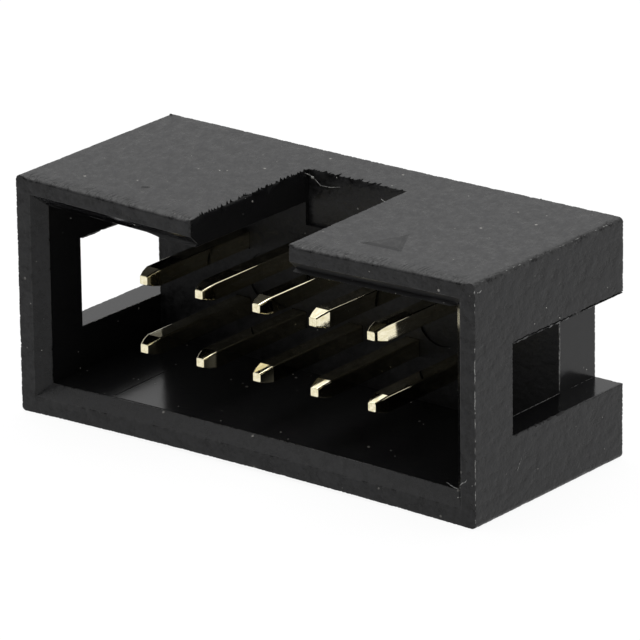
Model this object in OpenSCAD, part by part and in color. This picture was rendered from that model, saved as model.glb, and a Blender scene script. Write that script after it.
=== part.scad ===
// Straight shrouded box header for a flat-cable plug, two rows of square pins, all sizes in millimetres.
// X runs along the length, the mating mouth faces -Y, the board side faces +Y and the keying slot faces +Z.
// The origin lies on the lower long wall, in the middle of the length and of the overall depth with tails.

/* [Contacts] */
// Columns of contacts along the length, two contacts in each
columns = 5; // [2:1:20]
// Centre distance between columns and between the two rows
pitch = 2.54; // [2:0.01:2.8]
// Side of the square contact wire
pin_side = 0.64; // [0.5:0.01:0.8]
// Side of the flat end face left by the coined taper
tip_side = 0.32; // [0.2:0.01:0.45]
// Length of the taper at either end of a contact
tip_taper = 0.57; // [0.3:0.01:1]
// Distance from the rim of the shroud back to the contact tips
tip_setback = 0.84; // [0.3:0.01:2]
// Length of the solder tails behind the board face
tail_len = 3; // [2:0.1:5]

/* [Retention barbs] */
// Width across the pair of barbs coined out of each contact
barb_w = 0.86; // [0.82:0.01:1.2]
// Length of the barbs along the contact
barb_len = 0.9; // [0.6:0.05:1.4]
// Length of the barbs' sloping front
barb_ramp = 0.5; // [0.2:0.05:0.55]
// Gap between a contact and its passage, on each side
passage_fit = 0.01; // [0.005:0.005:0.05]

/* [Housing] */
// Height of the housing across its long walls
housing_h = 8.94; // [8:0.01:12]
// Depth of the housing from rim to board face
housing_d = 8.75; // [7:0.01:12]
// Distance from the outermost column to the end face
end_reach = 5.08; // [4.2:0.01:8]
// Thickness of the long walls where they meet the base
long_wall = 1.19; // [0.9:0.01:1.6]
// Thickness of the end walls where they meet the base
end_wall = 1.19; // [0.9:0.01:1.8]
// How far each cavity wall leans out between the base and the lead-in
cavity_draft = 0.1; // [0.02:0.01:0.2]
// Thickness of the base that carries the contacts
base_t = 2.21; // [1.6:0.01:3.2]
// Radius along the four outer edges that run from rim to board face
edge_r = 0.18; // [0.05:0.01:0.5]

/* [Mouth] */
// Width of the lead-in bevel inside the rim
lead_in_w = 0.46; // [0.1:0.01:0.6]
// Depth of the lead-in bevel
lead_in_d = 0.48; // [0.1:0.01:1]

/* [Keying slot] */
// Width of the slot in the upper long wall
key_w = 4.36; // [2:0.01:5]
// How far the slot runs on past the cavity floor
key_step = 0.2; // [0.05:0.01:0.5]
// How far that step reaches below the inner face of the wall
key_drop = 0.88; // [0.3:0.01:1.2]

/* [End windows] */
// Height of the open window in each end wall
window_h = 3.35; // [2:0.01:5]
// Width of the post between the rim and each window
window_post = 2.19; // [1.2:0.01:4]

/* [Pin 1 mark] */
// Width of the raised triangle over the first contact
mark_w = 1.8; // [0.8:0.01:2.2]
// Length of the triangle from its base to its point
mark_len = 1.65; // [0.8:0.01:2.2]
// Distance from the rim to the base of the triangle
mark_inset = 1.42; // [0.5:0.01:3]
// Height of the triangle above the wall
mark_h = 0.04; // [0.02:0.01:0.2]

/* [Ejector marks] */
// Radius of the ejector pins' marks on the cavity floor
ejector_r = 1.02; // [0.5:0.01:1.2]
// Depth of the marks
ejector_depth = 0.1; // [0.03:0.01:0.2]

/* [Hidden] */
$fn = 64;
// How far a cut runs past the face that it opens
overrun = 0.5;

contact_count = 2 * columns;

// Places along the depth, from the rim to the ends of the tails
rim_y = -(housing_d + tail_len) / 2;
board_y = rim_y + housing_d;
floor_y = board_y - base_t;
tip_y = rim_y + tip_setback;
tail_y = board_y + tail_len;
barb_y = floor_y + (base_t - barb_len) / 2;

// Half length of the shroud, half sizes of the cavity at its floor, and the level midway between the rows
half_len = (columns - 1) * pitch / 2 + end_reach;
floor_half_len = half_len - end_wall;
floor_half_h = housing_h / 2 - long_wall;
mid_z = housing_h / 2;

// Contacts are counted from the marked end, odd ones in the row beside the keying slot
function column_x(c) = ((columns - 1) / 2 - c) * pitch;
function contact_x(n) = column_x(floor((n - 1) / 2));
function contact_z(n) = mid_z + (n % 2 == 1 ? pitch : -pitch) / 2;

// Closes a half outline of [half width, y] points into a whole one
function both_sides(half) = concat(half, [for (i = [len(half) - 1:-1:0]) [-half[i].x, half[i].y]]);

// The barbs' half outline: a sloping front and a square back that bites when the contact is pulled
function barb_points(gap) = [
    [pin_side / 2 + gap, barb_y],
    [barb_w / 2 + gap, barb_y + barb_ramp],
    [barb_w / 2 + gap, barb_y + barb_len],
    [pin_side / 2 + gap, barb_y + barb_len]
];

// A contact's half outline along its length, with the given points between its two tapers
function wire_points(between) = concat(
    [[tip_side / 2, tip_y], [pin_side / 2, tip_y + tip_taper]],
    between,
    [[pin_side / 2, tail_y - tip_taper], [tip_side / 2, tail_y]]
);

// Square wire with four-sided coined ends: its plan with barbs, crossed with its plain side view
module wire() {
    intersection() {
        linear_extrude(pin_side, center = true)
            polygon(both_sides(wire_points(barb_points(0))));
        rotate([0, 90, 0])
            linear_extrude(barb_w, center = true)
                polygon(both_sides(wire_points([])));
    }
}

// Passage through the base that grips the wire and its barbs
module passage() {
    front = [[pin_side / 2 + passage_fit, floor_y - overrun]];
    back = [[pin_side / 2 + passage_fit, board_y + overrun]];
    linear_extrude(pin_side + 2 * passage_fit, center = true)
        polygon(both_sides(concat(front, barb_points(passage_fit), back)));
}

// Cross-section of the shroud, seen from the mouth, with its edges rounded
module shroud_section() {
    translate([-half_len, edge_r])
        square([2 * half_len, housing_h - 2 * edge_r]);
    translate([-half_len + edge_r, 0])
        square([2 * (half_len - edge_r), housing_h]);
    for (x = [edge_r - half_len, half_len - edge_r], z = [edge_r, housing_h - edge_r])
        translate([x, z])
            circle(edge_r);
}

module shroud_block() {
    translate([0, board_y, 0])
        rotate([90, 0, 0])
            linear_extrude(housing_d)
                shroud_section();
}

// Half outline of the cavity from the mouth to the floor: lead-in bevel, then a slight draft
function cavity_points(floor_half) = [
    [floor_half + cavity_draft + lead_in_w, rim_y - overrun],
    [floor_half + cavity_draft + lead_in_w, rim_y],
    [floor_half + cavity_draft, rim_y + lead_in_d],
    [floor_half, floor_y]
];

// Drafted cavity with a mitred lead-in: its plan crossed with its side view
module cavity() {
    translate([0, 0, mid_z])
        intersection() {
            linear_extrude(housing_h, center = true)
                polygon(both_sides(cavity_points(floor_half_len)));
            rotate([0, 90, 0])
                linear_extrude(2 * half_len, center = true)
                    polygon(both_sides(cavity_points(floor_half_h)));
        }
}

// Slot for the plug's key, whose core also leaves a step in the cavity floor
module key_slot() {
    translate([-key_w / 2, rim_y - overrun, housing_h - long_wall - key_drop])
        cube([key_w, floor_y + key_step - rim_y + overrun, key_drop + long_wall + overrun]);
}

// Window from behind the end post right through the board face, which bares the end of the base
module end_window() {
    translate([floor_half_len, rim_y + window_post, mid_z - window_h / 2])
        cube([end_wall + overrun, housing_d - window_post + overrun, window_h]);
}

// Low triangle that stands on the slotted wall, rooted halfway into it
module pin_one_mark() {
    translate([contact_x(1), rim_y + mark_inset, housing_h - long_wall / 2])
        linear_extrude(long_wall / 2 + mark_h)
            polygon([[-mark_w / 2, 0], [mark_w / 2, 0], [0, mark_len]]);
}

// Round mark midway between the last two columns
module ejector_mark() {
    translate([column_x(0) - pitch / 2, floor_y - overrun, mid_z])
        rotate([-90, 0, 0])
            cylinder(h = ejector_depth + overrun, r = ejector_r);
}

module housing() {
    color("#1c1c1e")
        difference() {
            union() {
                shroud_block();
                pin_one_mark();
            }
            cavity();
            key_slot();
            for (side = [0, 1])
                mirror([side, 0, 0]) {
                    end_window();
                    ejector_mark();
                }
            for (n = [1:contact_count])
                translate([contact_x(n), 0, contact_z(n)])
                    passage();
        }
}

module contact(n) {
    color("#d9bd72")
        translate([contact_x(n), 0, contact_z(n)])
            wire();
}

housing();
for (n = [1:contact_count])
    contact(n);
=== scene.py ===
import math

import bmesh
import bpy
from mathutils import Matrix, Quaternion, Vector, noise


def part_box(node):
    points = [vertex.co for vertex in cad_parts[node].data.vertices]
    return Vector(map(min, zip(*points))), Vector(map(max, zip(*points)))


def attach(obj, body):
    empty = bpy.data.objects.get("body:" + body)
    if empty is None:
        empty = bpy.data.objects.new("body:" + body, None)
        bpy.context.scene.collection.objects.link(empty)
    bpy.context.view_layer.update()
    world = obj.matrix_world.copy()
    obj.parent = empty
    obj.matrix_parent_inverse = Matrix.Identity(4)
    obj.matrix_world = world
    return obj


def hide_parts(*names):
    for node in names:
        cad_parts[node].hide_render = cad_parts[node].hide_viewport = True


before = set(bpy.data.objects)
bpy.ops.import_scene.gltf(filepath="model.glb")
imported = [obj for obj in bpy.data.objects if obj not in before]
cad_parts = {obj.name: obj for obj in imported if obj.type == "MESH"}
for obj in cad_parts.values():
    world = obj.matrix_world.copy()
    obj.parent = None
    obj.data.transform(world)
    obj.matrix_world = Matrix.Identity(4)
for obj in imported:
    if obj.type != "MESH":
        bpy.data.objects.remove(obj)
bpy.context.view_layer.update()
scene = bpy.context.scene
mm = 0.001

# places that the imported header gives, in metres
shellLow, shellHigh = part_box("housing")
rimY, boardY = shellLow.y, shellHigh.y
halfLength = shellHigh.x
contactNames = [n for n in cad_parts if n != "housing"]
contactNames.sort(key=lambda n: int(n.split("_")[1]))
print("header loaded:", len(contactNames), "contacts")

photoView = {
    "azimuth": 37.989,  # degrees round from the mouth towards the marked end
    "elevation": 19.601,
    "roll": -0.751,
    "aim": Vector((0, -1.384, 4.251)) * mm,
    "distance": 239.11 * mm,
    "lens": 379.57,  # in mm, as is the sensor's width
    "sensor": 36,
    "clip": (10 * mm, 10),
}


def makeCamera(view):
    azimuth, elevation = math.radians(view["azimuth"]), math.radians(view["elevation"])
    level = math.cos(elevation)
    back = Vector((math.sin(azimuth) * level, -math.cos(azimuth) * level, math.sin(elevation)))
    data = bpy.data.cameras.new("photo_camera")
    data.lens, data.sensor_width = view["lens"], view["sensor"]
    data.clip_start, data.clip_end = view["clip"]
    camera = bpy.data.objects.new("photo_camera", data)
    camera.rotation_mode = "QUATERNION"
    camera.location = view["aim"] + back * view["distance"]
    turn = Quaternion((0, 0, 1), math.radians(view["roll"]))
    camera.rotation_quaternion = (-back).to_track_quat("-Z", "Y") @ turn
    scene.collection.objects.link(camera)
    scene.camera = camera


makeCamera(photoView)
scene.view_settings.view_transform = "Standard"
print("camera placed")


def give(socket, value):
    if isinstance(value, bpy.types.NodeSocket):
        socket.id_data.links.new(value, socket)
    else:
        socket.default_value = value


# a node with its settings, then with values or links for some of its inputs
def addNode(tree, kind, place=(0, 0), inputs=None, **settings):
    node = tree.nodes.new(kind)
    node.location = place
    for name, value in settings.items():
        setattr(node, name, value)
    for name, value in (inputs or {}).items():
        give(node.inputs[name], value)
    return node


def newMaterial(name):
    material = bpy.data.materials.new(name)
    material.use_nodes = True
    tree = material.node_tree
    tree.nodes.clear()
    out = addNode(tree, "ShaderNodeOutputMaterial", (900, 0))
    return material, tree, out


def newGroup(name, kind, inputs, outputs):
    group = bpy.data.node_groups.new(name, kind)
    for label, socket, value in inputs:
        made = group.interface.new_socket(label, in_out="INPUT", socket_type=socket)
        if value is not None:
            made.default_value = value
    for label, socket in outputs:
        group.interface.new_socket(label, in_out="OUTPUT", socket_type=socket)
    return group, addNode(group, "NodeGroupInput", (-900, 0)), addNode(group, "NodeGroupOutput", (900, 0))


def math2(tree, operation, a, b, place=(0, 0)):
    return addNode(tree, "ShaderNodeMath", place, {0: a, 1: b}, operation=operation).outputs[0]


def mixColor(tree, factor, a, b, place=(0, 0)):
    return addNode(tree, "ShaderNodeMix", place, {0: factor, 6: a, 7: b}, data_type="RGBA").outputs[2]


def mapRange(tree, value, fromLow, fromHigh, toLow, toHigh, place=(0, 0)):
    inputs = {0: value, 1: fromLow, 2: fromHigh, 3: toLow, 4: toHigh}
    return addNode(tree, "ShaderNodeMapRange", place, inputs).outputs[0]


# share of the rays that are of one of these kinds
def anyRay(tree, kinds, place):
    path = addNode(tree, "ShaderNodeLightPath", place)
    share = path.outputs[kinds[0]]
    for kind in kinds[1:]:
        share = math2(tree, "MAXIMUM", share, path.outputs[kind], (place[0] + 200, place[1]))
    return share


clearRays = ("Is Camera Ray", "Is Transmission Ray")
directRays = clearRays + ("Is Glossy Ray",)
white = (1, 1, 1, 1)

studio = {
    "front": Vector((0.615, -0.788, 0)),  # the unlit side of the room, behind the photographer
    "frontLevel": 0.06,
    "frontFade": (-0.1, 0.45),  # cosines to it between which the light falls off
    "ceilingFade": (0.35, 0.7),  # heights between which it comes back
    "skyFade": (0.34, 0.7),
    "skyLevels": (0.82, 1.3),  # at the horizon and overhead
    "domeStrength": 0.95,
    "overheadEnergy": 0.65,  # watts
    "overheadSize": 260 * mm,
    "overheadPlace": Vector((-60, 60, 330)) * mm,
    "floorRadius": 900 * mm,
    "floorSides": 96,
    "floorGrey": 0.94,
    "shadowShown": 0.08,  # share of the shadow that the white floor keeps
}


def makeStudio(values):
    world = bpy.data.worlds.new("white_room")
    scene.world = world
    world.use_nodes = True
    tree = world.node_tree
    tree.nodes.clear()
    clear = anyRay(tree, clearRays, (-600, 200))
    direct = anyRay(tree, directRays, (-600, 500))
    toward = addNode(tree, "ShaderNodeTexCoord", (-1200, -100)).outputs["Generated"]
    inputs = {0: toward, 1: values["front"]}
    facing = addNode(tree, "ShaderNodeVectorMath", (-1000, -100), inputs, operation="DOT_PRODUCT")
    up = addNode(tree, "ShaderNodeSeparateXYZ", (-1000, -300), {0: toward}).outputs["Z"]
    cosine = facing.outputs["Value"]
    side = mapRange(tree, cosine, *values["frontFade"], 1, values["frontLevel"], (-800, -100))
    ceiling = mapRange(tree, up, *values["ceilingFade"], 0, 1, (-800, -300))
    sky = mapRange(tree, up, *values["skyFade"], *values["skyLevels"], (-800, -500))
    level = math2(tree, "MAXIMUM", side, ceiling, (-600, -200))
    level = math2(tree, "MULTIPLY", level, sky, (-500, -300))
    strength = math2(tree, "MULTIPLY", level, values["domeStrength"], (-400, -200))
    shown = math2(tree, "MAXIMUM", clear, level, (-200, -100))
    room = addNode(tree, "ShaderNodeBackground", (0, 100), {"Color": white, "Strength": strength})
    plain = addNode(tree, "ShaderNodeBackground", (0, -100), {"Color": white, "Strength": shown})
    inputs = {0: direct, 1: room.outputs[0], 2: plain.outputs[0]}
    pick = addNode(tree, "ShaderNodeMixShader", (300, 0), inputs)
    addNode(tree, "ShaderNodeOutputWorld", (500, 0), {0: pick.outputs[0]})

    lamp = bpy.data.lights.new("overhead_box", "AREA")
    lamp.energy, lamp.size = values["overheadEnergy"], values["overheadSize"]
    box = bpy.data.objects.new("overhead_box", lamp)
    box.location = values["overheadPlace"]
    box.rotation_mode = "QUATERNION"
    box.rotation_quaternion = (-values["overheadPlace"]).to_track_quat("-Z", "Y")
    scene.collection.objects.link(box)

    shape = bmesh.new()
    bmesh.ops.create_circle(
        shape, cap_ends=True, segments=values["floorSides"], radius=values["floorRadius"]
    )
    mesh = bpy.data.meshes.new("studio_floor")
    shape.to_mesh(mesh)
    floor = bpy.data.objects.new("studio_floor", mesh)
    scene.collection.objects.link(floor)

    paint, tree, out = newMaterial("white_floor")
    direct = anyRay(tree, directRays, (-500, 300))
    share = math2(tree, "MULTIPLY", direct, 1 - values["shadowShown"], (-100, 300))
    grey = (values["floorGrey"],) * 3 + (1,)
    card = addNode(tree, "ShaderNodeBsdfDiffuse", (0, 100), {"Color": grey})
    glow = addNode(tree, "ShaderNodeEmission", (0, -100), {"Color": white})
    inputs = {0: share, 1: card.outputs[0], 2: glow.outputs[0]}
    pick = addNode(tree, "ShaderNodeMixShader", (300, 0), inputs)
    give(out.inputs[0], pick.outputs[0])
    mesh.materials.append(paint)


makeStudio(studio)
print("studio lit")

mouldedGrain = {
    "fineDetail": 3,
    "fineRoughness": 0.65,
    "broadDetail": 4,
    "broadScale": 0.35,  # beside the fine grain
    "mottleRange": (0.8, 1.2),  # sum of both over which the mottle turns
}


# fine grain of a moulded skin, shared by all the finishes
def makeGrainGroup(values):
    inputs = [
        ("Vector", "NodeSocketVector", None),
        ("Grain Size", "NodeSocketFloat", 0.1 * mm),
        ("Waves", "NodeSocketFloat", 0.0),  # share of broad waves in the height
    ]
    outputs = [("Height", "NodeSocketFloat"), ("Mottle", "NodeSocketFloat")]
    group, given, out = newGroup("mouldedGrain", "ShaderNodeTree", inputs, outputs)
    scale = math2(group, "DIVIDE", 1.0, given.outputs["Grain Size"], (-650, -200))
    inputs = {"Detail": values["fineDetail"], "Roughness": values["fineRoughness"]}
    fine = addNode(group, "ShaderNodeTexNoise", (-400, 150), inputs)
    broad = addNode(group, "ShaderNodeTexNoise", (-400, -150), {"Detail": values["broadDetail"]})
    for texture, stretch in ((fine, 1.0), (broad, values["broadScale"])):
        give(texture.inputs["Vector"], given.outputs["Vector"])
        give(texture.inputs["Scale"], math2(group, "MULTIPLY", scale, stretch, (-550, 0)))
    waves = math2(group, "MULTIPLY", broad.outputs["Fac"], given.outputs["Waves"], (-150, 250))
    give(out.inputs["Height"], math2(group, "ADD", fine.outputs["Fac"], waves, (100, 200)))
    both = math2(group, "ADD", fine.outputs["Fac"], broad.outputs["Fac"], (0, -100))
    give(out.inputs["Mottle"], mapRange(group, both, *values["mottleRange"], 0, 1, (300, -100)))
    return group


# scattered pale specks of dust
def makeDustGroup():
    inputs = [
        ("Vector", "NodeSocketVector", None),
        ("Spacing", "NodeSocketFloat", 0.5 * mm),
        ("Speck Size", "NodeSocketFloat", 0.12),
        ("Share", "NodeSocketFloat", 0.3),
    ]
    group, given, out = newGroup("dustSpecks", "ShaderNodeTree", inputs, [("Mask", "NodeSocketFloat")])
    scale = math2(group, "DIVIDE", 1.0, given.outputs["Spacing"], (-600, -200))
    inputs = {"Vector": given.outputs["Vector"], "Scale": scale}
    cells = addNode(group, "ShaderNodeTexVoronoi", (-400, 0), inputs)
    chance = addNode(group, "ShaderNodeSeparateColor", (-150, -150), {0: cells.outputs["Color"]})
    kept = math2(group, "LESS_THAN", chance.outputs[0], given.outputs["Share"], (50, -150))
    reach = math2(group, "MULTIPLY", given.outputs["Speck Size"], chance.outputs[1], (50, -300))
    near = math2(group, "LESS_THAN", cells.outputs["Distance"], reach, (250, 0))
    faint = math2(group, "MULTIPLY", chance.outputs[2], kept, (250, -200))
    give(out.inputs["Mask"], math2(group, "MULTIPLY", near, faint, (500, 0)))
    return group


def addSkin(tree, out, color, rough, more):
    inputs = {"Base Color": color, "Roughness": rough, **more}
    skin = addNode(tree, "ShaderNodeBsdfPrincipled", (600, 0), inputs)
    give(out.inputs[0], skin.outputs[0])


grainGroup, dustGroup = makeGrainGroup(mouldedGrain), makeDustGroup()

blackPlastic = {
    "deep": (0.0004, 0.0004, 0.0006, 1),
    "pale": (0.0125, 0.0125, 0.0132, 1),
    # paler colour on the rounded edges, partly real wear and partly a painted highlight along them
    "edge": (0.03, 0.03, 0.03, 1),
    "dust": (0.25, 0.24, 0.22, 1),
    "grainSize": 0.13 * mm,
    "grainStretch": 2.2,  # along the flow of the melt
    "grainTurn": 38,  # degrees of that flow from the depth
    "grainDepth": 0.011 * mm,
    "waves": 3.2,
    "roughSpread": 0.2,  # of the grain, either side of a face's own roughness
    "grainRoughs": (0.15, 0.36),  # roughness of a face with hardly any grain and with all of it
    "grainShares": (0.02, 1),
    "specular": 0.225,
    "dustSpacing": 0.45 * mm,
}


def makePlastic(values):
    material, tree, out = newMaterial("black_moulding")
    coords = addNode(tree, "ShaderNodeTexCoord", (-900, 0)).outputs["Object"]
    inputs = {
        "Vector": coords,
        "Rotation": (0, 0, math.radians(values["grainTurn"])),
        "Scale": (1, values["grainStretch"], 1),
    }
    drawn = addNode(tree, "ShaderNodeMapping", (-750, 200), inputs, vector_type="TEXTURE")
    inputs = {"Vector": drawn.outputs[0], "Grain Size": values["grainSize"], "Waves": values["waves"]}
    grain = addNode(tree, "ShaderNodeGroup", (-600, 100), inputs, node_tree=grainGroup)
    inputs = {"Vector": coords, "Spacing": values["dustSpacing"]}
    dust = addNode(tree, "ShaderNodeGroup", (-600, -200), inputs, node_tree=dustGroup)
    worn = addNode(tree, "ShaderNodeAttribute", (-600, 400), attribute_name="edgeWearAndSheen")
    given = addNode(tree, "ShaderNodeAttribute", (-600, 600), attribute_name="skinRough").outputs["Fac"]
    base = math2(tree, "ABSOLUTE", given, 0.0, (-450, 650))  # a face without any grain has a minus sign
    grained = mapRange(tree, given, *values["grainRoughs"], *values["grainShares"], (-450, 500))
    mottle = math2(tree, "SUBTRACT", grain.outputs["Mottle"], 0.5, (-450, 250))
    mottle = math2(tree, "MULTIPLY", mottle, grained, (-400, 200))
    mottle = math2(tree, "ADD", mottle, 0.5, (-350, 200))
    color = mixColor(tree, mottle, values["deep"], values["pale"], (-300, 100))
    # the rounded edges turn paler: partly real wear, partly a painted highlight
    ragged = math2(tree, "MULTIPLY", worn.outputs["Fac"], grain.outputs["Mottle"], (-300, 350))
    color = mixColor(tree, ragged, color, values["edge"], (-100, 100))
    color = mixColor(tree, dust.outputs["Mask"], color, values["dust"], (100, 100))
    spread = values["roughSpread"] / 2
    varied = mapRange(tree, grain.outputs["Mottle"], 0, 1, -spread, spread, (-300, -300))
    varied = math2(tree, "MULTIPLY", varied, grained, (-150, -400))
    rough = math2(tree, "ADD", base, varied, (0, -400))
    height = math2(tree, "MULTIPLY", grain.outputs["Height"], grained, (100, -300))
    inputs = {"Distance": values["grainDepth"], "Strength": 1, "Height": height}
    bump = addNode(tree, "ShaderNodeBump", (300, -250), inputs)
    addSkin(tree, out, color, rough, {"Normal": bump.outputs[0], "Specular IOR Level": values["specular"]})
    return material


goldPlate = {
    "deep": (0.74, 0.67, 0.44, 1),
    "pale": (0.88, 0.82, 0.62, 1),
    "rough": (0.02, 0.06),
    "lineSize": 0.05 * mm,
    "lineStretch": 0.06,  # drawing lines run along the wire
    "lineDepth": 0.0003 * mm,
}


def makeGold(values):
    material, tree, out = newMaterial("gold_plate")
    coords = addNode(tree, "ShaderNodeTexCoord", (-900, 0)).outputs["Object"]
    inputs = {"Vector": coords, "Scale": (1, values["lineStretch"], 1)}
    along = addNode(tree, "ShaderNodeMapping", (-700, 0), inputs)
    inputs = {"Vector": along.outputs[0], "Grain Size": values["lineSize"]}
    grain = addNode(tree, "ShaderNodeGroup", (-450, 0), inputs, node_tree=grainGroup)
    color = mixColor(tree, grain.outputs["Mottle"], values["deep"], values["pale"], (-100, 100))
    rough = mapRange(tree, grain.outputs["Mottle"], 0, 1, *values["rough"], (-100, -150))
    inputs = {"Distance": values["lineDepth"], "Height": grain.outputs["Height"]}
    bump = addNode(tree, "ShaderNodeBump", (200, -250), inputs)
    addSkin(tree, out, color, rough, {"Normal": bump.outputs[0], "Metallic": 1})
    return material


# torn skin and dust are paler than the moulding, scores darker
crumbSpecular = 0.3
tornSkin = {
    "deep": (0.03, 0.03, 0.03, 1),
    "pale": (0.3, 0.3, 0.29, 1),
    "grainSize": 0.05 * mm,
    "rough": (0.4, 0.7),
}
darkScore = {
    "deep": (0.001, 0.001, 0.001, 1),
    "pale": (0.01, 0.01, 0.01, 1),
    "grainSize": 0.05 * mm,
    "rough": (0.5, 0.7),
}
paleDust = {
    "deep": (0.12, 0.12, 0.11, 1),
    "pale": (0.5, 0.49, 0.46, 1),
    "grainSize": 0.2 * mm,
    "rough": (0.8, 1.0),
}


def makeCrumb(name, values):
    material, tree, out = newMaterial(name)
    coords = addNode(tree, "ShaderNodeTexCoord", (-600, 0)).outputs["Object"]
    inputs = {"Vector": coords, "Grain Size": values["grainSize"]}
    grain = addNode(tree, "ShaderNodeGroup", (-300, 0), inputs, node_tree=grainGroup)
    color = mixColor(tree, grain.outputs["Mottle"], values["deep"], values["pale"])
    rough = mapRange(tree, grain.outputs["Height"], 0, 1, *values["rough"], (0, -200))
    addSkin(tree, out, color, rough, {"Specular IOR Level": crumbSpecular})
    return material


plastic, gold = makePlastic(blackPlastic), makeGold(goldPlate)
flash, dust = makeCrumb("torn_skin", tornSkin), makeCrumb("pale_dust", paleDust)
score = makeCrumb("dark_score", darkScore)
print("finishes mixed")

tiny = 0.002 * mm
mergeReach = 0.0001 * mm
flatAngle, sharpAngle = math.radians(0.5), math.radians(20)
# parts of a normal along an axis or along another normal
straight, parallel, squarely, aslant, hardly = 0.999, 0.99, 0.9, 0.3, 0.1


# a CAD node's loose triangles, merged and melted back into whole faces
def meltedCopy(node):
    shape = bmesh.new()
    shape.from_mesh(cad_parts[node].data)
    bmesh.ops.remove_doubles(shape, verts=shape.verts, dist=mergeReach)
    bmesh.ops.dissolve_limit(shape, angle_limit=flatAngle, verts=shape.verts, edges=shape.edges)
    return shape


def everything(shape):
    return shape.verts[:] + shape.edges[:] + shape.faces[:]


def cutAcross(shape, parts, axis, place):
    normal = Vector([1.0 if k == axis else 0.0 for k in range(3)])
    cut = bmesh.ops.bisect_plane(shape, geom=parts, dist=tiny / 4, plane_co=normal * place, plane_no=normal)
    return cut["geom"]


def linkedObject(name, mesh):
    thing = bpy.data.objects.new(name, mesh)
    scene.collection.objects.link(thing)
    return thing


# the evaluated object as a plain mesh, with its modifiers gone
def frozen(thing):
    evaluated = thing.evaluated_get(bpy.context.evaluated_depsgraph_get())
    plain = bpy.data.meshes.new_from_object(evaluated)
    thing.modifiers.clear()
    thing.data = plain
    return thing


def roundedMesh(name, shape, widest, segments):
    mesh = bpy.data.meshes.new(name)
    shape.to_mesh(mesh)
    shape.free()
    for slot in range(2):
        mesh.materials.append(None)
    thing = linkedObject(name, mesh)
    bevel = thing.modifiers.new("edge rounding", "BEVEL")
    bevel.limit_method, bevel.width, bevel.segments = "WEIGHT", widest, segments
    bevel.use_clamp_overlap = False
    bevel.material = 1  # marks the rounded strips
    return frozen(thing)


# flat faces keep their own normal, and the rounded strips between them (slot 1)
# run smoothly from one to the next
def finishNormals(shape, mesh, crease):
    shape.normal_update()
    shape.faces.index_update()
    area = [f.calc_area() for f in shape.faces]
    alike = math.cos(math.radians(crease))
    corners = []
    for face in shape.faces:
        for vert in face.verts:
            flats = [f for f in vert.link_faces if f.material_index == 0]
            if flats:
                lead = max(flats, key=lambda f: f.normal.dot(face.normal)).normal
                group = [f for f in flats if f.normal.dot(lead) > alike]
            else:
                group = vert.link_faces
            corners.append(sum((f.normal * area[f.index] for f in group), Vector()).normalized())
    for face in shape.faces:
        face.material_index = 0
        face.smooth = True
    shape.to_mesh(mesh)
    shape.free()
    mesh.normals_split_custom_set(corners)


def wearMaterial(thing, material):
    thing.data.materials.clear()
    thing.data.materials.append(material)


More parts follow.
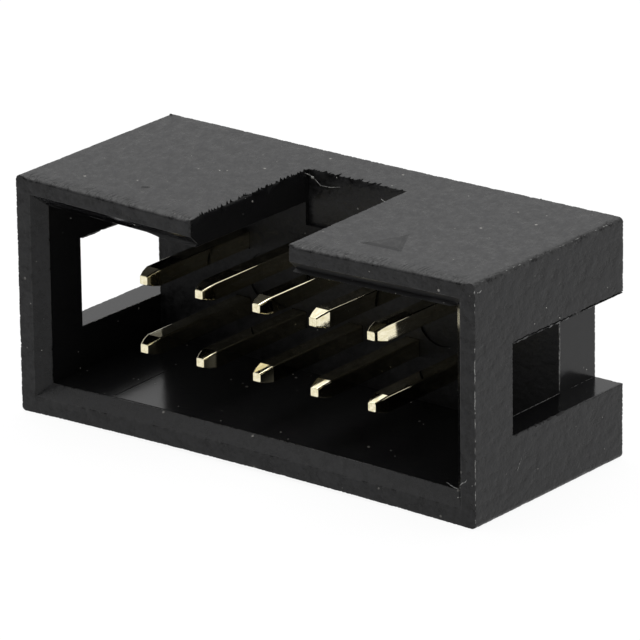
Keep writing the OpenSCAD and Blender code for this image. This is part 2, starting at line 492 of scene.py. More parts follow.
shellFinish = {
    "markHeight": 0.04 * mm,  # of the triangle that stands over the first contact
    "cornerRadius": 0.18 * mm,  # of the long outer edges, as modelled
    "wall": 1.19 * mm,
    "base": 2.21 * mm,
    "pitch": 2.54 * mm,
    "passageReach": 0.46 * mm,
    "windowFront": 2.19 * mm,
    "windowTop": 6.145 * mm,
    "slotHalf": 2.18 * mm,
    "slotRear": 0.2 * mm,  # past the cavity floor
    "floorBand": 0.15 * mm,  # past it too, deeper than the ejector marks
    "widestRound": 0.1 * mm,
    "rearRound": 0.07 * mm,
    "edgeRound": 0.022 * mm,
    "crispRound": 0.007 * mm,  # where the slotted wall's lead-in starts
    "windowRound": 0.09 * mm,  # over the end windows, then pressed into a groove and a lip
    "markMiddle": Vector((5.08, -3.921, 0)) * mm,
    "markTop": 0.72,  # share of its outline left at the top of its sloping sides
    "segments": 3,
    "cells": (20, 10, 9),  # of the flat faces along the length, depth and height
    "nick": 0.05 * mm,  # spacing of the cuts along an edge
    "chipSize": (0.05 * mm, 0.4 * mm),
    "chipShares": (0.7, 0.3),  # of the fine and the broad chips
    "chipPlace": Vector((3, 5, 7)),  # in the noise
    "chipDepth": 0.13 * mm,
    "middleChip": 0.41,  # share of it in the middle of a rounding
    "leastTurn": 0.01,  # of a rounding along the face beside it
    "innerChip": 0.2,  # share of the depth inside the mouth
    "mouthMargin": 0.3 * mm,
    "toothSize": 0.075 * mm,
    "hairSize": 0.037 * mm,
    "hair": 0.9,  # its share beside the teeth
    "furBase": 0.12,
    "furLimit": 0.75,
    "toothDepth": 0.33 * mm,  # along the keying slot
    "hairLean": Vector((1.0, 1.15, 0)),  # of those on its sides, towards the board
    "toothReach": 0.3 * mm,  # down its sides
    "toothFade": (0.1 * mm, 0.3 * mm),  # towards its rear corners
    "toothStart": (0.2 * mm, 0.6 * mm),  # behind the rim
    "rightTooth": 0.15,  # share of the depth on its right side
    "slotMargin": 0.1 * mm,
    "slotEdge": 0.08 * mm,
    # rounding along the front of the slotted wall, over its top and down the rim
    "rimWorn": (0.24 * mm, 0.16 * mm),
    "rimTooth": 0.6 * mm,
    "rimLimit": 0.8 * mm,
    "rimBroad": 4,  # size of its broad wear beside the teeth
    "rimBroadShare": 0.6,
    "rimEndFade": (0.22 * mm, 0.5 * mm),
    "rimSlotFade": (0.03 * mm, 0.25 * mm),
    "leadIn": (0.46 * mm, 0.48 * mm),
    "leadInMargin": 0.05 * mm,
    "leadInPull": (0.2 * mm, 0.24 * mm),  # towards the rim, on the slotted wall's far and marked half
    "pullFade": (-4.6 * mm, -3.6 * mm),
    "mitreFade": (0.01 * mm, 0.12 * mm),
    "farPull": Vector((0, -0.2, 0.09)) * mm,  # the same over the far window
    "farFade": (4 * mm, 4.8 * mm),
    "cavityDraft": 0.1 * mm,
    "rearChip": 0.4 * mm,  # along the slotted wall's rear edge
    "rearBand": 0.15 * mm,
    "rearFade": (0.25 * mm, 0.5 * mm),
    "grooveDepth": 0.1 * mm,  # over the end windows
    "lip": {
        "start": 0.03 * mm,  # behind the window's front
        "fade": (3.6 * mm, 4.6 * mm),
        "faded": 0.75,
        "broadSize": 0.33 * mm,
        "fineSize": 0.09 * mm,
        "levels": (0.8, 0.3, 0.05),  # above which lie the groove's edge, the groove and the lip
        "edgeSway": 0.05 * mm,
        "groove": (0.2, 0.8),  # least and mean share of its depth
        "out": 0.9,
        "sway": 0.06 * mm,
        "hang": 0.1 * mm,
        "fineShare": 0.3,
    },
    "leadInReach": 0.6 * mm,  # where each roughness is worn
    "lowerReach": 0.2 * mm,
    "floorReach": 0.1 * mm,
    "outsideRough": 0.36,
    "coredRough": 0.17,
    "lowerRough": 0.16,  # on the cavity's lower wall
    "leadInRough": 0.3,
    "darkLeadInRough": 0.2,  # at the marked end
    "upperLeadInRough": -0.42,  # on the slotted wall's marked half, without any grain
    "farLeadInRough": 0.15,  # on its other half
    "slotRearRough": 0.4,
    "floorRough": 0.55,
    "markRough": 0.47,
    "upperSag": 0.165 * mm,
    "upperRearSag": 0.05 * mm,
    "lowerRise": 0.128 * mm,
    "crease": 6,  # degrees
}
shellHeight = shellHigh.z - shellFinish["markHeight"]
floorY = boardY - shellFinish["base"]
midZ = shellHeight / 2


def inPassage(point):
    p = shellFinish["pitch"]
    columns = len(contactNames) / 2
    column = abs((point.x / p + 0.5) % 1 - 0.5) * p
    row = abs(abs(point.z - midZ) - p / 2)
    reach = shellFinish["passageReach"]
    return abs(point.x) < columns / 2 * p and point.y > floorY - tiny and column < reach and row < reach


def edgeRounding(edge, values):
    a, b = (v.co for v in edge.verts)
    middle, wall = (a + b) / 2, values["wall"]
    if edge.calc_face_angle() < sharpAngle or not edge.is_convex or (inPassage(a) and inPassage(b)):
        return 0
    onFloor = floorY - tiny < middle.y < floorY + values["floorBand"]
    inCavity = abs(middle.z - midZ) < midZ - wall - tiny and abs(middle.x) < halfLength - wall - tiny
    if onFloor and inCavity:
        return 0  # cavity floor with its ejector marks
    if middle.z > shellHeight + tiny:
        return 0
    if a.y > boardY - tiny and b.y > boardY - tiny:
        return values["rearRound"]
    leadInStart = midZ - wall + values["cavityDraft"] + values["leadIn"][0]
    if middle.y - rimY < tiny and abs(middle.z - midZ - leadInStart) < tiny:
        return values["crispRound"]
    onEnd = halfLength - abs(middle.x) < tiny and abs(a.z - b.z) < tiny
    if onEnd and abs(middle.z - values["windowTop"]) < tiny:
        return values["windowRound"]
    return values["edgeRound"]


def cutStrips(shape, strips, axis, spacing):
    low = min(v.co[axis] for f in strips for v in f.verts)
    high = max(v.co[axis] for f in strips for v in f.verts)
    for step in range(1, int((high - low) / spacing) + 1):
        place = low + step * spacing
        strips = [f for f in strips if max(v.co[axis] for v in f.verts) > place + tiny]
        crossing = [f for f in strips if min(v.co[axis] for v in f.verts) < place - tiny]
        whole = [f for f in strips if min(v.co[axis] for v in f.verts) >= place - tiny]
        if not crossing:
            continue
        edges = {e for f in crossing for e in f.edges}
        verts = {v for f in crossing for v in f.verts}
        cut = cutAcross(shape, crossing + list(edges) + list(verts), axis, place)
        pieces = [f for f in cut if isinstance(f, bmesh.types.BMFace)]
        strips = whole + [f for f in pieces if f.calc_center_median()[axis] > place]


# the long walls bow into the cavity, most at the mouth
def wallWarp(point):
    f = shellFinish
    bow = 1 - (point.x / halfLength) ** 2
    back = min(1, max(0, (point.y - rimY) / (boardY - rimY)))
    upper = -(f["upperSag"] + (f["upperRearSag"] - f["upperSag"]) * back) * bow**2
    lower = f["lowerRise"] * (1 - back) * bow
    height = min(1, max(0, (point.z - f["wall"]) / (shellHeight - 2 * f["wall"])))
    return lower + (upper - lower) * height


def ease(value, low, high):
    share = min(1.0, max(0.0, (value - low) / (high - low)))
    return share * share * (3 - 2 * share)


# rows of the noise, which keep the ragged edges apart
noiseRows = {"slotRear": 2.7, "slotSide": 5.1, "rim": 3.9, "rimBroad": 6.2, "lipBroad": 1.3, "lipFine": 8.9}
noiseLevel, hairShift = 7.3, 20


def raggedness(along, size, row, shift=0):
    return noise.noise(Vector((along / size, noiseRows[row] + shift, noiseLevel)))


# hair over coarser teeth, as a share of their depth
def fur(along, values, row):
    teeth = raggedness(along, values["toothSize"], row)
    hair = values["hair"] * raggedness(along, values["hairSize"], row, hairShift)
    return min(values["furLimit"], max(0.0, teeth + hair + values["furBase"]))


# the keying slot's upper edges were cut by a worn core:
# teeth that run a little way down its left and rear sides
def slotTeeth(p, values):
    side, rear = values["slotHalf"], floorY + values["slotRear"]
    margin, edge = values["slotMargin"], values["slotEdge"]
    if p.z < shellHeight - margin or abs(p.x) > side + margin or p.y > rear + margin:
        return None
    fromRear, fromSide = rear - p.y, side - abs(p.x)
    if fromRear < edge and fromSide > edge:
        deep = fur(p.x, values, "slotRear") * ease(fromSide, *values["toothFade"])
        return Vector((0, values["toothDepth"] * deep, 0))
    if fromSide < edge and fromRear > edge:
        deep = fur(p.y, values, "slotSide") * ease(fromRear, *values["toothFade"])
        deep *= ease(p.y - rimY, *values["toothStart"]) * (1 if p.x < 0 else values["rightTooth"])
        lean = values["hairLean"]
        return Vector((math.copysign(lean.x, p.x), lean.y, 0)) * values["toothDepth"] * deep
    return Vector()


def besideSlot(edge, values):
    a, b = (v.co for v in edge.verts)
    onTop = min(a.z, b.z) > shellHeight - tiny and abs(a.y - b.y) < tiny
    reach = values["slotHalf"] + (shellHigh.x - shellLow.x) / values["cells"][0]
    beside = all(values["slotHalf"] < abs(p.x) < reach for p in (a, b))
    inside = rimY + values["slotMargin"] < a.y < floorY and beside
    return onTop and inside and all(f.material_index == 0 for f in edge.link_faces)


def inToothBand(face, values):
    p = face.calc_center_median()
    inSlot = abs(p.x) < values["slotHalf"] + tiny and p.y < floorY + values["slotRear"] + tiny
    behindRim = p.y > rimY + values["slotMargin"]
    return inSlot and behindRim and abs(face.normal.z) < hardly and p.z > shellHeight - values["toothReach"]


# a groove along the top of each end window with a torn lip under it, which fades towards the board
def windowLip(p, values):
    lip, radius = values["lip"], values["windowRound"]
    above, inside = p.z - values["windowTop"], halfLength - abs(p.x)
    front = p.y - rimY - values["windowFront"]
    if not (-tiny < above < radius + tiny and inside < radius + tiny and front > lip["start"]):
        return None
    out = Vector((math.copysign(1, p.x), 0, 0))
    torn = 1 - lip["faded"] * ease(front, *lip["fade"])
    broad = raggedness(p.y, lip["broadSize"], "lipBroad")
    fine = raggedness(p.y, lip["fineSize"], "lipFine")
    grooveEdge, groove, edge = (level * radius for level in lip["levels"])
    if above > grooveEdge:
        return Vector((0, 0, lip["edgeSway"] * fine))
    if above > groove:
        least, mean = lip["groove"]
        return -out * values["grooveDepth"] * max(least, mean + broad)
    if above > edge:
        sway = Vector((0, 0, lip["sway"] * (broad + fine) * torn))
        return out * inside * torn * max(0, lip["out"] + fine) + sway
    return Vector((0, 0, -lip["hang"] * max(0, broad + lip["fineShare"] * fine) * torn))


# the slotted wall's front edge is worn round, and ragged where it meets the top
def frontWear(p, values):
    back, down, radius = p.y - rimY, shellHeight - p.z, values["edgeRound"]
    if not (-tiny < back < radius + tiny and -tiny < down < radius + tiny):
        return None
    fromEnd, fromSlot = halfLength - abs(p.x), abs(p.x) - values["slotHalf"]
    amount = ease(fromEnd, *values["rimEndFade"]) * ease(fromSlot, *values["rimSlotFade"])
    broad = raggedness(p.x, values["rimBroad"] * values["toothSize"], "rimBroad")
    tooth = fur(p.x, values, "rim") + values["rimBroadShare"] * max(0.0, broad)
    over, under = values["rimWorn"]
    over = min(over + values["rimTooth"] * tooth, values["rimLimit"])
    return Vector((0, back * (over / radius - 1), -down * (under / radius - 1))) * amount


# pulls the inner edge of the slotted wall's lead-in towards the rim
def leadInMove(p, values):
    deep, margin = values["leadIn"][1], values["leadInMargin"]
    inner = midZ - values["wall"] + values["cavityDraft"]
    corner = halfLength - values["wall"] + values["cavityDraft"]
    if abs(p.y - rimY - deep) > margin or abs(p.z - midZ - inner) > margin:
        return Vector()
    share = ease(corner - p.x, *values["mitreFade"]) * ease(p.x, *values["pullFade"])
    farShare = ease(corner + p.x, *values["mitreFade"]) * ease(-p.x, *values["farFade"])
    pull = values["leadInPull"][p.x > 0]
    return Vector((0, -pull, 0)) * share + values["farPull"] * farShare


# how far an edge is chipped back at a point, and which way
def chipMove(vert, values):
    strips = [f.normal for f in vert.link_faces if f.material_index == 1]
    flats = [f.normal for f in vert.link_faces if f.material_index == 0]
    if not strips or any(n.dot(flats[0]) < parallel for n in flats):
        return Vector()
    p = vert.co
    for special in (slotTeeth, windowLip, frontWear):
        move = special(p, values)
        if move is not None:
            return move
    turn = sum(strips, Vector()).normalized()
    inward, reach = -turn, values["middleChip"]
    if flats:
        along = turn - flats[0] * turn.dot(flats[0])
        if along.length < values["leastTurn"]:
            return Vector()
        inward, reach = -along.normalized(), 1.0
    place, margin = values["chipPlace"], values["mouthMargin"]
    fine, broad = (max(0.0, noise.noise(p / size + place)) for size in values["chipSize"])
    inMouth = abs(p.x) < halfLength - margin and abs(p.z - midZ) < midZ - margin and p.y < floorY
    depth = values["chipDepth"] * (values["innerChip"] if inMouth else 1)
    if p.z > shellHeight - tiny and p.y > boardY - values["rearBand"]:
        depth = values["rearChip"] * ease(halfLength - abs(p.x), *values["rearFade"])
    fineShare, broadShare = values["chipShares"]
    return inward * reach * depth * (fineShare * fine + broadShare * broad)


# the mark's sides slope
def slopeMark(shape, values):
    middle = values["markMiddle"]
    for vert in shape.verts:
        if vert.co.z > shellHeight + tiny:
            vert.co.x = middle.x + (vert.co.x - middle.x) * values["markTop"]
            vert.co.y = middle.y + (vert.co.y - middle.y) * values["markTop"]


# smooth where the core has formed the face, dull on the cavity floor, satin elsewhere
def skinRough(face, values):
    middle, n = face.calc_center_median(), face.normal
    outside = (
        halfLength - abs(middle.x) < tiny or midZ - abs(middle.z - midZ) < tiny
        or middle.y - rimY < tiny or boardY - middle.y < tiny
    )
    leadIn = n.y < -aslant and middle.y < rimY + values["leadInReach"]
    if middle.z > shellHeight + tiny:
        return values["markRough"]
    if face.material_index == 1 or outside:
        return values["outsideRough"]
    if leadIn and n.z < -aslant:
        return values["upperLeadInRough" if middle.x > 0 else "farLeadInRough"]
    if leadIn:
        return values["darkLeadInRough" if n.x < -aslant else "leadInRough"]
    if n.y < -squarely and middle.y > floorY + values["floorBand"]:
        return values["slotRearRough"]
    if n.z > squarely and middle.z < values["wall"] + values["lowerReach"]:
        return values["lowerRough"]
    onFloor = n.y < -squarely and middle.y > floorY - values["floorReach"]
    return values["floorRough" if onFloor else "coredRough"]


def makeHousing(values):
    shape = meltedCopy("housing")
    for face in shape.faces:  # the long rounded corners count as edges
        middle = face.calc_center_median()
        outX, outZ = halfLength - abs(middle.x), midZ - abs(middle.z - midZ)
        radius = values["cornerRadius"]
        turned = max(abs(face.normal.x), abs(face.normal.y), abs(face.normal.z)) < straight
        face.material_index = int(turned and outX < radius and outZ < radius)
    weight = shape.edges.layers.float.new("bevel_weight_edge")
    for edge in shape.edges:
        edge[weight] = edgeRounding(edge, values) / values["widestRound"]
    thing = roundedMesh("housing_moulding", shape, values["widestRound"], values["segments"])

    shape = bmesh.new()
    shape.from_mesh(thing.data)
    for axis, size in enumerate(shellHigh - shellLow):
        count = values["cells"][axis]
        places = [shellLow[axis] + size * step / count for step in range(1, count)]
        if axis == 2:
            places.append(shellHeight - values["toothReach"])
        for place in places:
            cutAcross(shape, everything(shape), axis, place)
    for axis in range(3):
        strips = []
        for face in shape.faces:
            if face.material_index != 1:
                continue
            extent = [max(v.co[k] for v in face.verts) - min(v.co[k] for v in face.verts) for k in range(3)]
            if extent[axis] == max(extent) and extent[axis] > values["nick"]:
                strips.append(face)
        cutStrips(shape, strips, axis, values["nick"])

    crossing = [e for e in shape.edges if besideSlot(e, values)]  # the hairs would lean over these
    bmesh.ops.dissolve_edges(shape, edges=crossing, use_verts=False)
    shape.normal_update()
    worn = shape.verts.layers.float.new("edgeWearAndSheen")
    rough = shape.faces.layers.float.new("skinRough")
    for face in shape.faces:
        face[rough] = skinRough(face, values)
    moves = [chipMove(vert, values) for vert in shape.verts]
    rounded = [f for f in shape.faces if f.material_index == 1]
    lips = [f for f in rounded if windowLip(f.calc_center_median(), values) is not None]
    bands = [f for f in shape.faces if inToothBand(f, values)]
    slopeMark(shape, values)
    for vert, move in zip(shape.verts, moves):
        # marks the rounded edges, whose paler colour is partly real wear and partly a painted highlight
        vert[worn] = float(all(f.material_index == 1 for f in vert.link_faces))
        vert.co += move + leadInMove(vert.co, values)
        vert.co.z += wallWarp(vert.co)
    for face in lips:
        face.material_index = 0  # keeps its facets
    for face in bands:
        face.material_index = 1  # runs smoothly into the teeth
    finishNormals(shape, thing.data, values["crease"])
    wearMaterial(thing, plastic)
    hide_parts("housing")
    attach(thing, "root")
    print("housing moulded:", len(thing.data.polygons), "faces")
    return thing


housing = makeHousing(shellFinish)


def addTree(name, inputs):
    inputs = [("Geometry", "NodeSocketGeometry", None)] + inputs
    outputs = [("Geometry", "NodeSocketGeometry")]
    tree, given, out = newGroup(name, "GeometryNodeTree", inputs, outputs)
    return tree, given.outputs, out.inputs["Geometry"]


def chain(tree, source, kind, place, inputs=None, **settings):
    return addNode(tree, kind, place, {0: source, **(inputs or {})}, **settings).outputs[0]


def named(tree, name, kind, place):
    node = addNode(tree, "GeometryNodeInputNamedAttribute", place, {"Name": name}, data_type=kind)
    return node.outputs["Attribute"]


# runs a tree on an object with values for its named inputs, then keeps the plain mesh
def grown(thing, tree, values):
    modifier = thing.modifiers.new(tree.name, "NODES")
    modifier.node_group = tree
    for item in tree.interface.items_tree:
        if item.in_out == "INPUT" and item.name in values:
            modifier[item.identifier] = values[item.name]
    thing.update_tag()
    return frozen(thing)


# one pin stood on every contact's place, each leaning a little
def makePinTree():
    inputs = [
        ("Pin", "NodeSocketObject", None),
        ("Floor", "NodeSocketFloat", 0.0),
        ("Tip", "NodeSocketFloat", 0.0),
        ("Plating", "NodeSocketMaterial", None),
    ]
    tree, given, out = addTree("pinRows", inputs)
    pin = addNode(tree, "GeometryNodeObjectInfo", (-650, -250), {"Object": given["Pin"]})
    inputs = {"Instance": pin.outputs["Geometry"]}
    rows = chain(tree, given["Geometry"], "GeometryNodeInstanceOnPoints", (-400, 0), inputs)
    solid = chain(tree, rows, "GeometryNodeRealizeInstances", (-200, 0))
    position = addNode(tree, "GeometryNodeInputPosition", (-850, -500)).outputs[0]
    along = addNode(tree, "ShaderNodeSeparateXYZ", (-650, -500), {0: position}).outputs["Y"]
    bend = mapRange(tree, along, given["Floor"], given["Tip"], 0, 1, (-400, -500))
    inputs = {0: named(tree, "lean", "FLOAT_VECTOR", (-400, -750)), "Scale": bend}
    shift = addNode(tree, "ShaderNodeVectorMath", (-200, -500), inputs, operation="SCALE")
    leant = chain(tree, solid, "GeometryNodeSetPosition", (100, 0), {"Offset": shift.outputs[0]})
    plated = chain(tree, leant, "GeometryNodeSetMaterial", (400, 0), {"Material": given["Plating"]})
    give(out, plated)
    return tree


pinFinish = {
    "shaftRound": 0.04 * mm,
    "taperRound": 0.065 * mm,
    "faceRound": 0.02 * mm,
    "taper": 0.57 * mm,
    "bulgePlace": 0.26 * mm,  # the coined tapers are a little rounded
    "bulge": 0.018 * mm,
    "segments": 4,
    "crease": 9,  # degrees
    # how far each tip stands off its grid place, sideways and upwards in mm, counted from the marked end
    "leans": [
        (-0.02, 0.03), (-0.01, -0.05), (-0.02, 0.015), (0.01, -0.04), (0.01, 0.0),
        (-0.01, -0.035), (-0.02, -0.02), (-0.01, -0.03), (0.02, 0.0), (-0.01, -0.04),
    ],
}


def makePins(values):
    master = contactNames[0]
    low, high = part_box(master)
    centre = Vector(((low.x + high.x) / 2, 0, (low.z + high.z) / 2))
    shape = meltedCopy(master)
    bmesh.ops.translate(shape, verts=shape.verts, vec=-centre)
    for place in (low.y + values["bulgePlace"], high.y - values["bulgePlace"]):
        cutAcross(shape, everything(shape), 1, place)
        for vert in shape.verts:
            if abs(vert.co.y - place) < tiny:
                vert.co.x += math.copysign(values["bulge"], vert.co.x)
                vert.co.z += math.copysign(values["bulge"], vert.co.z)
    weight = shape.edges.layers.float.new("bevel_weight_edge")
    for edge in shape.edges:
        if edge.calc_face_angle() < sharpAngle:
            continue
        reach = max(min(v.co.y - low.y, high.y - v.co.y) for v in edge.verts)
        kind = "face" if reach < tiny else "taper" if reach < values["taper"] + tiny else "shaft"
        edge[weight] = values[kind + "Round"] / values["taperRound"]
    pin = roundedMesh("master_pin", shape, values["taperRound"], values["segments"])
    shape = bmesh.new()
    shape.from_mesh(pin.data)
    finishNormals(shape, pin.data, values["crease"])
    wearMaterial(pin, gold)

    places = []
    for name in contactNames:
        nodeLow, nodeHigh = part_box(name)
        places.append(((nodeLow.x + nodeHigh.x) / 2, 0, (nodeLow.z + nodeHigh.z) / 2))
    mesh = bpy.data.meshes.new("contact_pins")
    mesh.from_pydata(places, [], [])
    lean = mesh.attributes.new("lean", "FLOAT_VECTOR", "POINT")
    for item, (sideways, up) in zip(lean.data, values["leans"]):
        item.vector = Vector((sideways, 0, up)) * mm
    inputs = {"Pin": pin, "Floor": floorY, "Tip": low.y, "Plating": gold}
    thing = grown(linkedObject("contact_pins", mesh), makePinTree(), inputs)
    bpy.data.objects.remove(pin)
    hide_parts(*contactNames)
    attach(thing, "root")
    print("contacts plated:", len(thing.data.polygons), "faces")


makePins(pinFinish)


beadShape = {
    "detail": 1,
    "swaySize": 0.35,  # beside the beads' own
    "thinEnd": 0.25,
    "sides": 6,
}


# ragged beads that follow a path: broken at random, thin at their ends
def makeFlashTree(values):
    inputs = [
        ("Step", "NodeSocketFloat", 0.05 * mm),
        ("Radius", "NodeSocketFloat", 0.015 * mm),
        ("Bead", "NodeSocketFloat", 0.3 * mm),
        ("Wander", "NodeSocketFloat", 0.01 * mm),
        ("Seed", "NodeSocketFloat", 1.0),
        ("Finish", "NodeSocketMaterial", None),
    ]
    tree, given, out = addTree("mouldFlash", inputs)

    def grain(size, place):
        scale = math2(tree, "DIVIDE", 1.0, size, (place[0] - 200, place[1]))
        inputs = {"W": given["Seed"], "Scale": scale, "Detail": values["detail"]}
        return addNode(tree, "ShaderNodeTexNoise", place, inputs, noise_dimensions="4D")

    path = chain(tree, given["Geometry"], "GeometryNodeMeshToCurve", (-1500, 0))
    inputs = {"Length": given["Step"]}
    path = chain(tree, path, "GeometryNodeResampleCurve", (-1300, 0), inputs, mode="LENGTH")
    line = chain(tree, path, "GeometryNodeCurveToMesh", (-1100, 0))
    gaps = grain(given["Bead"], (-1300, -300))
    inputs = {0: gaps.outputs["Fac"], 1: named(tree, "gap", "FLOAT", (-1200, -500))}
    gone = addNode(tree, "FunctionNodeCompare", (-1000, -300), inputs, operation="LESS_THAN")
    line = chain(tree, line, "GeometryNodeDeleteGeometry", (-800, 0), {"Selection": gone.outputs[0]})
    beads = chain(tree, line, "GeometryNodeMeshToCurve", (-600, 0))
    sway = grain(math2(tree, "MULTIPLY", given["Bead"], values["swaySize"], (-900, -600)), (-600, -600))
    inputs = {0: sway.outputs["Color"], 1: (0.5, 0.5, 0.5)}
    middle = addNode(tree, "ShaderNodeVectorMath", (-400, -600), inputs, operation="SUBTRACT")
    inputs = {0: middle.outputs[0], "Scale": given["Wander"]}
    offset = addNode(tree, "ShaderNodeVectorMath", (-200, -600), inputs, operation="SCALE")
    moved = chain(tree, beads, "GeometryNodeSetPosition", (-300, 0), {"Offset": offset.outputs[0]})

    along = addNode(tree, "GeometryNodeSplineParameter", (-600, -900)).outputs["Factor"]
    rest = math2(tree, "SUBTRACT", 1.0, along, (-400, -950))
    ends = math2(tree, "MULTIPLY", along, rest, (-200, -900))
    ends = math2(tree, "MULTIPLY", ends, 4.0, (0, -900))
    ends = math2(tree, "SQRT", ends, 0.0, (150, -900))
    taper = mapRange(tree, ends, 0, 1, values["thinEnd"], 1, (300, -900))
    width = math2(tree, "MULTIPLY", taper, named(tree, "thick", "FLOAT", (0, -1100)), (300, -1000))
    width = math2(tree, "MULTIPLY", width, given["Radius"], (450, -1000))
    inputs = {"Resolution": values["sides"], "Radius": 1}
    ring = addNode(tree, "GeometryNodeCurvePrimitiveCircle", (0, -300), inputs)
    inputs = {"Profile Curve": ring.outputs[0], "Scale": width, "Fill Caps": True}
    tube = chain(tree, moved, "GeometryNodeCurveToMesh", (500, 0), inputs)
    solid = chain(tree, tube, "GeometryNodeRealizeInstances", (700, 0))
    worn = chain(tree, solid, "GeometryNodeSetMaterial", (800, 0), {"Material": given["Finish"]})
    give(out, worn)
    return tree


pathStep = 0.5


# paths in mm from the middle of the length (x), the rim (y) and the lower face (z),
# each with its thickness and gaps
def pathMesh(name, paths):
    verts, edges, thick, gaps = [], [], [], []
    for points, amount, gap in paths:
        points = [Vector(p) for p in points]
        dense = []
        for a, b in zip(points, points[1:]):
            count = max(1, round((b - a).length / pathStep))
            dense += [a.lerp(b, k / count) for k in range(count)]
        dense.append(points[-1])
        for k, p in enumerate(dense):
            place = Vector((p.x * mm, rimY + p.y * mm, p.z * mm))
            verts.append(place + Vector((0, 0, wallWarp(place))))
            thick.append(amount)
            gaps.append(gap)
            if k:
                edges.append((len(verts) - 2, len(verts) - 1))
    mesh = bpy.data.meshes.new(name)
    mesh.from_pydata(verts, edges, [])
    for label, numbers in (("thick", thick), ("gap", gaps)):
        mesh.attributes.new(label, "FLOAT", "POINT").data.foreach_set("value", numbers)
    return mesh


flashTree = makeFlashTree(beadShape)

edgeFlash = {
    "Step": 0.04 * mm,
    "Radius": 0.02 * mm,
    "Bead": 0.22 * mm,
    "Wander": 0.05 * mm,
    "Seed": 4.0,
    "Finish": flash,
    "paths": [
        # front edge at the marked end
        ([(10.15, 0.005, 0.25), (10.15, 0.005, 4.4)], 0.75, 0.49),
        ([(10.15, 0.005, 4.4), (10.15, 0.005, 6.2)], 0.9, 0.36),
        ([(10.15, 0.005, 6.2), (10.15, 0.005, 8.7)], 0.75, 0.49),
        # skin hung in the end windows
        ([(9.045, 2.25, 2.795), (8.975, 6.5, 2.795), (8.975, 8.6, 2.795)], 0.5, 0.2),
        ([(-9.045, 2.25, 2.795), (-8.975, 6.5, 2.795), (-8.975, 8.6, 2.795)], 0.7, 0.2),
        ([(8.975, 6.545, 2.85), (8.975, 6.545, 6.1)], 1.3, 0.3),
        ([(-8.975, 6.545, 2.85), (-8.975, 6.545, 6.1)], 1.3, 0.3),
        ([(-9.05, 2.25, 6.145), (-8.985, 6.4, 6.145)], 2.0, 0.3),
        # upper edge of the marked end
        ([(10.1, 0.3, 8.88), (10.1, 8.5, 8.88)], 0.6, 0.5),
    ],
}

looseStrands = {
    "Step": 0.04 * mm,
    "Radius": 0.016 * mm,
    "Bead": 0.3 * mm,
    "Wander": 0.02 * mm,
    "Seed": 9.0,
    "Finish": flash,
    "paths": [
        # torn skin in the slot's rear corner
        ([(-2.17, 6.5, 8.85), (-2.08, 6.66, 8.75), (-1.97, 6.715, 8.67)], 1.0, 0),
        ([
            (-1.97, 6.72, 8.67), (-1.8, 6.725, 8.54), (-1.63, 6.725, 8.42),
            (-1.18, 6.725, 8.44), (-0.77, 6.725, 8.53),
        ], 0.9, 0),
        ([(-2.03, 6.69, 8.69), (-1.9, 6.69, 8.64)], 3.4, 0),
        # whisker on its right edge
        ([(2.25, 5.4, 8.945), (2.08, 5.52, 8.92), (1.82, 5.73, 8.88)], 0.9, 0),
        # whiskers at the mouth's lower corner
        ([(8.58, 0.46, 1.25), (8.71, 0.47, 1.19), (8.88, 0.47, 1.13), (9.15, 0.45, 1.12)], 1.0, 0),
        ([
            (9.52, -0.005, 1.38), (9.51, -0.01, 1.5), (9.6, -0.01, 1.61),
            (9.72, -0.01, 1.67), (9.81, -0.01, 1.79),
        ], 1.1, 0),
        ([(10.0, -0.005, 1.6), (10.04, -0.005, 1.61)], 2.2, 0),
        # scores and crumbs on the marked end
        ([(10.16, 2.4, 1.42), (10.16, 2.49, 1.58), (10.16, 2.67, 1.82)], 0.8, 0),
        ([(10.16, 0.14, 8.6), (10.16, 0.28, 8.57), (10.16, 0.4, 8.63)], 1.3, 0),
        ([(10.16, 2.56, 8.09), (10.16, 2.59, 8.1)], 2.0, 0),
        ([(10.16, 1.95, 7.17), (10.16, 1.98, 7.18)], 2.0, 0),
        ([(10.16, 4.87, 7.93), (10.16, 4.89, 7.94)], 1.6, 0),
        ([(10.16, 3.85, 8.16), (10.16, 3.87, 8.17)], 1.4, 0),
        # crumbs on the rim and the slotted wall
        ([(-5.8, 0.0, 8.52), (-5.78, 0.0, 8.53)], 1.6, 0),
        ([(-6.1, 0.0, 8.9), (-6.08, 0.0, 8.91)], 1.4, 0),
        ([(-7.15, 1.43, 8.94), (-7.13, 1.44, 8.94)], 1.6, 0),
        ([(-2.96, 6.79, 8.94), (-2.94, 6.8, 8.94)], 1.6, 0),
    ],
}

# a score in the slotted wall, burrs on its rear edge, and dark lines elsewhere
darkScores = {
    "Step": 0.04 * mm,
    "Radius": 0.016 * mm,
    "Bead": 0.3 * mm,
    "Wander": 0.01 * mm,
    "Seed": 5.0,
    "Finish": score,
    "paths": [
        ([(-5.75, 1.65, 8.94), (-5.48, 1.84, 8.94)], 1.2, 0),
        ([(-9.98, 8.58, 8.9), (-10.02, 8.66, 8.95)], 4.5, 0),
        ([(6.6, 8.68, 8.94), (6.66, 8.7, 8.95)], 2.4, 0),
        ([(10.125, 3.0, 2.76), (10.125, 5.4, 2.76)], 4.2, 0.46),  # torn sill of the end window
        # the core's witness lines on the cavity's lower wall, along its depth and behind the lead-in
        ([(-6.38, 0.56, 1.092), (-6.41, 1.9, 1.114), (-6.46, 3.75, 1.144)], 1.1, 0),
        ([(-6.4, 0.56, 1.092), (-3.6, 0.56, 1.092)], 1.1, 0),
    ],
}


def makeFlash(name, values):
    thing = grown(linkedObject(name, pathMesh(name, values["paths"])), flashTree, values)
    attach(thing, "root")
    print(name, "grown:", len(thing.data.polygons), "faces")


makeFlash("edge_flash", edgeFlash)
makeFlash("loose_strands", looseStrands)
makeFlash("dark_scores", darkScores)


crumbLengths = {"Min_001": 0.6, "Max_001": 1.6, "Seed": 31}  # beside a crumb's width


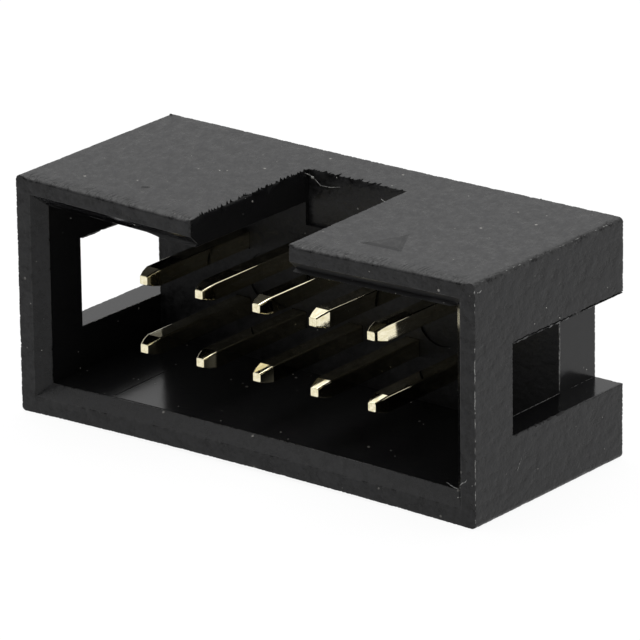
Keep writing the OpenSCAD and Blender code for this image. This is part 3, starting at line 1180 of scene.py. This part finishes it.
# flat crumbs of dust scattered over a skin
def makeDustTree():
    inputs = [
        ("Density", "NodeSocketFloat", 1.0),
        ("Smallest", "NodeSocketFloat", 0.01 * mm),
        ("Largest", "NodeSocketFloat", 0.03 * mm),
        ("Flatness", "NodeSocketFloat", 0.4),
        ("Seed", "NodeSocketInt", 1),
        ("Finish", "NodeSocketMaterial", None),
    ]
    tree, given, out = addTree("dustScatter", inputs)

    def drawn(values, place):
        node = addNode(tree, "FunctionNodeRandomValue", place, data_type="FLOAT")
        for socket in node.inputs:
            if socket.identifier in values:
                give(socket, values[socket.identifier])
        return node.outputs[1]

    inputs = {0: given["Geometry"], "Density": given["Density"], "Seed": given["Seed"]}
    spots = addNode(tree, "GeometryNodeDistributePointsOnFaces", (-500, 0), inputs)
    crumb = addNode(tree, "GeometryNodeMeshIcoSphere", (-500, -300), {"Radius": 1, "Subdivisions": 1})
    limits = {"Min_001": given["Smallest"], "Max_001": given["Largest"], "Seed": given["Seed"]}
    size = drawn(limits, (-500, -500))
    inputs = {0: drawn(crumbLengths, (-500, -800)), 1: 1, 2: given["Flatness"]}
    wide = addNode(tree, "ShaderNodeCombineXYZ", (-300, -700), inputs)
    inputs = {0: wide.outputs[0], "Scale": size}
    scale = addNode(tree, "ShaderNodeVectorMath", (-100, -600), inputs, operation="SCALE")
    inputs = {
        "Instance": crumb.outputs["Mesh"],
        "Rotation": spots.outputs["Rotation"],
        "Scale": scale.outputs[0],
    }
    laid = chain(tree, spots.outputs["Points"], "GeometryNodeInstanceOnPoints", (0, 0), inputs)
    solid = chain(tree, laid, "GeometryNodeRealizeInstances", (250, 0))
    dusty = chain(tree, solid, "GeometryNodeSetMaterial", (500, 0), {"Material": given["Finish"]})
    give(out, dusty)
    return tree


looseDust = {
    "Density": 0.2 / mm**2,
    "Smallest": 0.008 * mm,
    "Largest": 0.026 * mm,
    "Flatness": 0.35,
    "Seed": 12,
    "Finish": dust,
}


def makeDust(skin, values):
    thing = grown(linkedObject("loose_dust", skin.data.copy()), makeDustTree(), values)
    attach(thing, "root")
    print("dust scattered:", len(thing.data.polygons), "faces")


makeDust(housing, looseDust)
